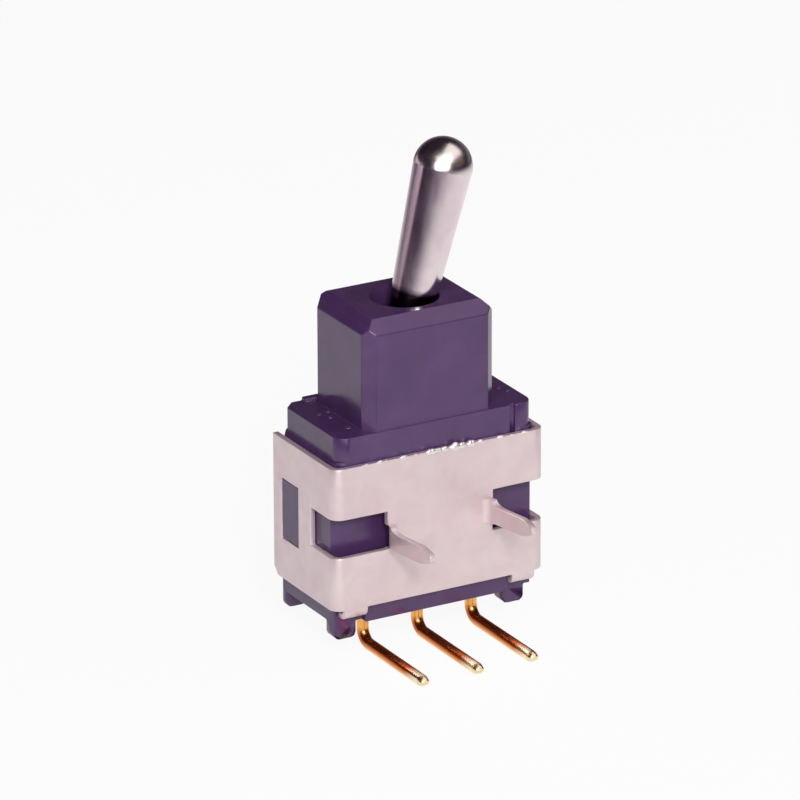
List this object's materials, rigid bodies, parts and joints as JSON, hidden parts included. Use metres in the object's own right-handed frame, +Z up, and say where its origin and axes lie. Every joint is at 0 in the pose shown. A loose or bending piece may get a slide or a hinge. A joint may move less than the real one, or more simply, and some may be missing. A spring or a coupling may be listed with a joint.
{
  "type": "toggle switch",
  "caption": "Ultra-miniature toggle switch that stands beside its circuit board, with a bat lever, a folded metal frame and round wire terminals",
  "frame": {"origin": "where the middle terminal's axis crosses the board face", "axes": "+X along the row of terminals, +Y away from the board, +Z up the upright lever"},
  "size_m": [0.0099, 0.0086, 0.0209],
  "materials": {
    "housing_plastic": "gloss",
    "tinned_steel": "satin",
    "gold_plate": "bright",
    "contact_silver": "satin",
    "nickel_plate": "satin, with a polished tip",
    "spring_steel": "bright",
    "nylon": "matte",
    "resin": "gloss",
    "seal_rubber": "matte"
  },
  "bodies": {
    "housing": {"case": "housing_plastic", "base": "housing_plastic", "frame": "tinned_steel", "terminal_left": "gold_plate", "terminal_common": "gold_plate", "terminal_right": "gold_plate", "plate_left": "gold_plate", "plate_right": "gold_plate", "button_left": "contact_silver", "button_right": "contact_silver", "cradle": "gold_plate", "terminal_seal": "resin", "seal_ring": "seal_rubber"},
    "lever": {"lever": "nickel_plate", "pivot_pin": "spring_steel", "plunger": "nylon", "plunger_spring": "spring_steel"},
    "rocker": {"rocker": "gold_plate", "rocker_tip_left": "contact_silver", "rocker_tip_right": "contact_silver"}
  },
  "joints": [
    {"name": "lever_tilt", "type": "hinge", "parent": "housing", "child": "lever", "pos_m": [0, 0.00265, 0.01247], "axis": [0, 1, 0], "range_deg": [-29, 0]},
    {"name": "rocker_tilt", "type": "hinge", "parent": "housing", "child": "rocker", "pos_m": [0, 0.00265, 0.0062], "axis": [0, 1, 0], "range_deg": [0, 12]}
  ],
  "couplings": [
    {"joint": "rocker_tilt", "follows": "lever_tilt", "ratio": -0.4137}
  ]
}
